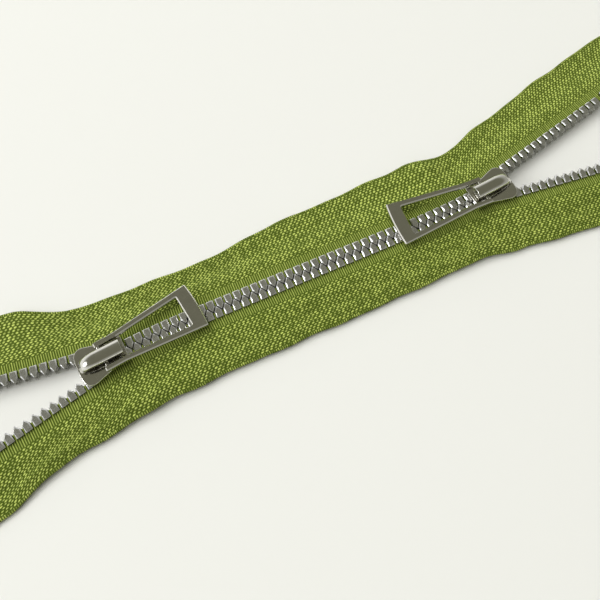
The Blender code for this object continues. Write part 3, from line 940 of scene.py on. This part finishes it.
def tooth_mesh():
    """A tooth with a pointed head, chamfered edges and a hollow in the head for the next tooth."""
    half = TOOTH_WIDTH / 2
    shoulder = TOOTH_V_LENGTH - TOOTH_TIP_PAST_LINE
    outline = [
        (0, -TOOTH_TIP_PAST_LINE),
        (half, shoulder),
        (half, TOOTH_BACK),
        (-half, TOOTH_BACK),
        (-half, shoulder),
    ]
    top = TOOTH_HEIGHT / 2
    plate = rounded_plate(outline, TOOTH_CORNER, -top, top, TOOTH_CHAMFER, steps=1)
    depth, height = HEAD_HOLLOW
    low = -CUT_REACH, -CUT_REACH, -height / 2
    high = CUT_REACH, depth - TOOTH_TIP_PAST_LINE, height / 2
    return combined(jawed(plate), [box_mesh(low, high)], "DIFFERENCE")


def stop_mesh():
    half, top = STOP_LENGTH / 2, STOP_HEIGHT / 2
    outline = [(-half, STOP_INNER), (half, STOP_INNER), (half, STOP_BACK), (-half, STOP_BACK)]
    return jawed(rounded_plate(outline, STOP_CORNER, -top, top, STOP_ROUNDING, steps=5))


def copies(name, mesh, side, distances):
    """One mesh with a copy at each distance along a row, each marked with that distance."""
    count = len(mesh.vertices)
    rest = np.ones((count, 4))
    rest[:, :3] = np.array([v.co for v in mesh.vertices]) * MM
    faces = [list(p.vertices) for p in mesh.polygons]
    points, all_faces = [], []
    for number, distance in enumerate(distances):
        matrix = np.array(row_frame(side, distance))
        points.append((rest @ matrix.T)[:, :3])
        all_faces += [[v + number * count for v in face] for face in faces]
    result = mesh_from(name, np.concatenate(points), all_faces)
    mark(result, "along", np.repeat(distances, count))
    shade(result, SHARP_TOOTH_EDGE)
    return result


def add_row(side, tooth, stop, material):
    """A row's teeth, grouped as the CAD's nodes are, and its two stops."""
    name = ROWS[side]
    group = teeth_zipping(side)
    tail = SLIDER_TAIL_AT - SINGLES_BEFORE_TAIL
    nose = SLIDER_TAIL_AT + SLIDER_LENGTH + SINGLES_PAST_NOSE
    nodes = {f"{name}_teeth_{part}": [] for part in ("left_leg", "middle", "right_leg")}
    singles = {"left": 0, "right": 0}
    for distance in tooth_distances(side):
        end = "left" if distance < 0 else "right"
        if abs(distance) < tail:
            nodes[f"{name}_teeth_middle"].append(distance)
        elif abs(distance) < nose:
            singles[end] += 1
            nodes[f"{name}_tooth_{end}_{singles[end]}"] = [distance]
        else:
            nodes[f"{name}_teeth_{end}_leg"].append(distance)
    pieces = [(node, "nickel", tooth, distances) for node, distances in nodes.items()]
    pieces += [(f"{name}_stop_{word}", "clamped", stop, [end * STOP_AT]) for end, word in ENDS.items()]
    for node, word, shape, distances in pieces:
        mesh = copies(node, shape, side, distances)
        add_piece(f"{node}_{word}", mesh, node, CHAIN, material, group)


# ---- sliders


def slider_matrix(end):
    side = 1 if end == "right" else -1
    x, y, heading = row_place(1, side, SLIDER_TAIL_AT)
    turn = heading if side > 0 else heading + math.pi
    return Matrix.Translation((x, y, 0)) @ Matrix.Rotation(turn, 4, "Z")


def shoulder():
    return arc(SHOULDER_CENTRE, SHOULDER_RADIUS, *SHOULDER_ANGLES, 20)


def blade_outline():
    side = [(0.0, TAIL_HALF_WIDTH), (WAIST_AT, TAIL_HALF_WIDTH)]
    return mirrored([*side, *shoulder(), (SLIDER_LENGTH, NOSE_HALF_WIDTH)])


def blade_mesh(bottom, top):
    return rounded_plate(blade_outline(), BLADE_CORNER, bottom, top, BLADE_RIM, steps=3)


def flange_outline(side):
    x, y = shoulder()[0]
    slope = (y - TAIL_HALF_WIDTH) / (x - WAIST_AT)
    outer_end = TAIL_HALF_WIDTH + slope * (FLANGE_LENGTH - WAIST_AT)
    outer = [(FLANGE_START, TAIL_HALF_WIDTH), (WAIST_AT, TAIL_HALF_WIDTH), (FLANGE_LENGTH, outer_end)]
    inner = [(x, y - FLANGE_THICKNESS) for x, y in reversed(outer)]
    return [(x, side * (y - FLANGE_INSET)) for x, y in outer + inner]


def slider_body_mesh():
    """Two blades with rounded rims, held apart by the diamond, with a flange along each side."""
    low, high = BLADE_THICKNESS, BLADE_THICKNESS + CHANNEL_HEIGHT
    diamond = mirrored(list(zip(DIAMOND_PLACES, DIAMOND_HALF_WIDTHS)))
    pieces = [
        rounded_plate(diamond, INNER_CORNER, low - OVERLAP, high + OVERLAP, DIAMOND_ROUNDING),
        blade_mesh(high, BLADE_TOP),
    ]
    for side in (1, -1):
        outline = flange_outline(side)
        for span in ((low - OVERLAP, low + FLANGE_HEIGHT), (high - FLANGE_HEIGHT, high + OVERLAP)):
            pieces.append(rounded_plate(outline, INNER_CORNER, *span, FLANGE_ROUNDING))
    body = combined(blade_mesh(0, low), pieces)
    (start, end), half = PIN_HOLE
    hole = box_mesh((start, -half, high - OVERLAP), (end, half, BLADE_TOP + OVERLAP))
    return combined(body, [hole], "DIFFERENCE")


def cap_stations():
    """Places along the bridge's crown line, each with its direction and how far its rim is rounded off."""
    bend_start = CAP_NOSE - CAP_NOSE_BEND
    stations = []
    for i in range(5):
        turn = math.pi / 2 * i / 4
        place = CAP_TAIL + CAP_RIM * (1 - math.sin(turn)), CAP_TOP
        stations.append((place, (1.0, 0.0), CAP_RIM * (1 - math.cos(turn))))
    stations.reverse()
    level_start = CAP_TAIL + CAP_RIM
    for i in range(1, 10):
        place = level_start + (bend_start - level_start) * i / 10, CAP_TOP
        stations.append((place, (1.0, 0.0), 0.0))
    rise = CAP_TOP - CAP_FOOT
    for i in range(25):
        turn = math.pi / 2 * i / 24
        place = bend_start + CAP_NOSE_BEND * math.sin(turn), CAP_FOOT + rise * math.cos(turn)
        ahead = Vector((CAP_NOSE_BEND * math.cos(turn), -rise * math.sin(turn))).normalized()
        stations.append((place, tuple(ahead), 0.0))
    return stations


def arch(half, crown, start, end, steps):
    """Points across an arch: (distance from its middle plane, depth below its crown)."""
    turns = [math.pi / 2 * (start + (end - start) * k / steps) for k in range(steps + 1)]
    return [(half * math.sin(t), crown * (1 - math.cos(t) ** 0.9)) for t in turns]


def cap_mesh():
    """The bridge: an arched shell along the crown line, with a wall that closes its tail."""
    steps = 20
    narrower, flatter = CAP_TAPER
    points = []
    for (x, z), ahead, rounded in cap_stations():
        normal = Vector((-ahead[1], ahead[0]))
        nose = float(smooth((x - CAP_TAPER_START) / (CAP_NOSE - CAP_TAPER_START)))
        half = CAP_WIDTH / 2 * (1 - narrower * nose) - rounded
        crown = CAP_CROWN * (1 - flatter * nose)
        inner_half = half + 2 * rounded - CAP_SIDE
        outer = arch(half, crown - 2 * rounded, -1, 1, steps)
        inner = arch(inner_half, crown - CAP_THICKNESS, 1, -1, steps)
        ring = [(y, depth + rounded) for y, depth in outer]
        ring += [(y, depth + CAP_THICKNESS - rounded) for y, depth in inner]
        for y, depth in ring:
            point = Vector((x, z)) - normal * depth
            points.append((point.x, y, point.y))
    count = 2 * (steps + 1)
    faces = ring_faces(len(points) // count, count)
    for base in (0, len(points) - count):
        for k in range(steps):
            faces.append([base + k, base + k + 1, base + count - 2 - k, base + count - 1 - k])
    shell = metal_from("cap", points, faces)
    (start, end), half, drop = CAP_WALL
    corners = [(CAP_TAIL + x, y) for x, y in ((start, -half), (end, -half), (end, half), (start, half))]
    wall = rounded_plate(corners, CAP_WALL_CORNER, CAP_FOOT, CAP_TOP - drop, CAP_WALL_ROUNDING)
    return combined(shell, [wall])


def lever_mesh():
    """The spring strip, bent from one piece, with its pin at the tail end."""
    corners = [Vector((x * MM, z * MM)) for x, z in LEVER_LINE]
    line = [corners[0]]
    for before, corner, after in zip(corners, corners[1:], corners[2:]):
        reach = min(LEVER_BEND, (corner - before).length * 0.4, (after - corner).length * 0.4)
        start = corner + (before - corner).normalized() * reach
        end = corner + (after - corner).normalized() * reach
        for t in (0, 0.25, 0.5, 0.75, 1):
            line.append(start * (1 - t) ** 2 + corner * 2 * t * (1 - t) + end * t ** 2)
    line.append(corners[-1])
    points = []
    half, width = LEVER_THICKNESS / 2, LEVER_WIDTH / 2
    strip = [(-width, -half), (width, -half), (width, half), (-width, half)]
    ring = rounded_outline(strip, LEVER_CORNER, steps=2)
    for i, place in enumerate(line):
        ahead = (line[min(i + 1, len(line) - 1)] - line[max(i - 1, 0)]).normalized()
        normal = Vector((-ahead.y, ahead.x))
        share = i / (len(line) - 1)
        pin = 1 - PIN_TAPER * float(smooth((share - PIN_START_SHARE) / (1 - PIN_START_SHARE)))
        for y, rise in ring:
            point = place + normal * rise
            points.append((point.x, y * pin, point.y))
    return metal_from("lever", points, tube_faces(len(line), len(ring)))


def tab_outline():
    """The pull tab from above, running towards -X: a bowed bar, and two arms that splay out to it."""
    narrow, wide = TAB_HALF_WIDTHS
    bar_start = TAB_LENGTH - TAB_BAR_DEPTH
    slope = (wide - narrow) / (TAB_LENGTH - TAB_STRAIGHT)
    bow = [(-TAB_LENGTH - TAB_BAR_BOW * (1 - (i / 8) ** 2), wide * i / 8) for i in range(9)]
    inner, inner_end = TAB_ARM_WIDTHS
    window_end = narrow + slope * (bar_start - TAB_STRAIGHT) - inner_end
    half = bow + [
        (-TAB_STRAIGHT, narrow),
        (TAB_ARM_END, narrow),
        (TAB_ARM_END, narrow - inner),
        (-TAB_STRAIGHT, narrow - inner),
        (-bar_start, window_end),
    ]
    return half + [(x, -y) for x, y in reversed(half[1:])]


def peg_mesh(side):
    """A peg with a domed end, turned about its own axis."""
    arm_middle = TAB_HALF_WIDTHS[0] - TAB_ARM_WIDTHS[0] / 2
    profile = [(PEG_RADIUS, arm_middle)]
    for i in range(4):
        t = math.pi / 2 * (1 - i / 3)
        edge, end = PEG_DOME * (1 - math.sin(t)), PEG_DOME * (1 - math.cos(t))
        profile.append((PEG_RADIUS - edge, PEG_INNER_END + end))
    steps = 24
    points = []
    for radius, along in profile:
        for i in range(steps):
            turn = 2 * math.pi * i / steps
            points.append((radius * math.cos(turn), side * along, radius * math.sin(turn)))
    return metal_from("peg", points, tube_faces(len(profile), steps))


def tab_mesh():
    half = TAB_THICKNESS / 2
    plate = rounded_plate(tab_outline(), TAB_CORNER, -half, half, TAB_CHAMFER, steps=1)
    return combined(plate, [peg_mesh(1), peg_mesh(-1)])


def add_slider(end, nickel, spring):
    place = slider_matrix(end)
    pegs = (
        place
        @ Matrix.Translation((PEG_AT[end], 0, PEG_HEIGHT))
        @ Matrix.Rotation(TAB_YAW[end], 4, "Z")
        @ Matrix.Rotation(-TAB_DROOP, 4, "Y")
    )
    parts = [
        ("slider_body", "cast", slider_body_mesh(), place, "slider", "plated_slider", nickel),
        ("bridge_cap", "domed", cap_mesh(), place, "slider", "plated_slider", nickel),
        ("lock_lever", "strip", lever_mesh(), place, "lock_lever", "spring_steel", spring),
        ("pull_tab", "polished", tab_mesh(), pegs, "pull_tab", "plated_slider", nickel),
    ]
    for node, word, mesh, matrix, body, slot, material in parts:
        mesh.transform(matrix @ Matrix.Scale(MM, 4))
        shade(mesh)
        add_piece(f"{end}_{node}_{word}", mesh, f"{end}_{node}", f"{end}_{body}", material)


# ---- stage


def add_stage():
    size = FLOOR_HALF_SIZE
    corners = [(-size, -size, 0), (size, -size, 0), (size, size, 0), (-size, size, 0)]
    floor = new_object("paper", mesh_from("paper", corners, [[0, 1, 2, 3]]))
    material, _, shader = new_material("paper")
    shader.inputs["Base Color"].default_value = PAPER
    shader.inputs["Roughness"].default_value = 0.9
    shader.inputs["Specular IOR Level"].default_value = 0.2
    floor.data.materials.append(material)


def add_light(name, place, size, power, colour, mirrored):
    data = bpy.data.lights.new(name, "AREA")
    data.shape = "RECTANGLE"
    data.size, data.size_y = size
    data.energy = power
    data.color = colour
    light = new_object(name, data)
    light.location = place
    light.rotation_euler = (-Vector(place)).to_track_quat("-Z", "Y").to_euler()
    light.visible_glossy = mirrored


def add_lights():
    # What the metal mirrors is dimmer than what lights the paper, or its edges would blow out
    add_light("window", *WINDOW, 16.0, (1.0, 1.0, 0.985), False)
    add_light("window_glass", *WINDOW, 7.0, (1.0, 1.0, 0.98), True)
    add_light("ceiling_glow", (-0.35, 0.45, 1.8), (2.0, 2.0), 22.5, (1.0, 1.0, 1.0), False)
    add_light("side", (-1.60, 0.10, 0.95), (0.7, 0.6), 11.0, (0.97, 0.98, 1.0), True)
    world = bpy.data.worlds.new("room")
    bpy.context.scene.world = world
    world.use_nodes = True
    n = Nodes(world.node_tree)
    background = world.node_tree.nodes["Background"]
    direction = n.add("ShaderNodeTexCoord").outputs["Generated"]
    overhead = n.ramp(n.parts(direction)[2], 0.25, 0.7)
    towards = n.vector("DOT_PRODUCT", direction, WINDOW_SIDE, output=1)
    walls = n.colour(n.ramp(towards, -0.6, 0.5), FAR_WALLS, WINDOW_WALLS)
    n.set(background.inputs["Color"], n.colour(overhead, walls, CEILING))


def add_camera():
    data = bpy.data.cameras.new("camera")
    data.lens = CAMERA_LENS
    data.sensor_width = 36.0
    data.clip_start = 0.005
    data.clip_end = 10.0
    camera = new_object("camera", data)
    camera.location = CAMERA_AT
    camera.rotation_euler = (CAMERA_TARGET - CAMERA_AT).to_track_quat("-Z", "Y").to_euler()
    bpy.context.scene.camera = camera
    bpy.context.scene.view_settings.view_transform = "Standard"


add_camera()
add_stage()
add_lights()
TAPE = tape_material()
TEETH_METAL = metal_material("plated_teeth", TEETH_TINT, (0.26, 0.36), cast=0.3, flank_shade=TEETH_FLANK_PAINTED_SHADE)
SLIDER_METAL = metal_material("plated_slider", SLIDER_TINT, (0.10, 0.19), cast=0.5)
SPRING_METAL = metal_material("spring_steel", SPRING_TINT, (0.22, 0.36), scratch=2.0)
TOOTH, STOP = tooth_mesh(), stop_mesh()
for row_side in ROWS:
    add_tape(row_side, TAPE)
    add_row(row_side, TOOTH, STOP, TEETH_METAL)
for slider_end in ENDS.values():
    add_slider(slider_end, SLIDER_METAL, SPRING_METAL)
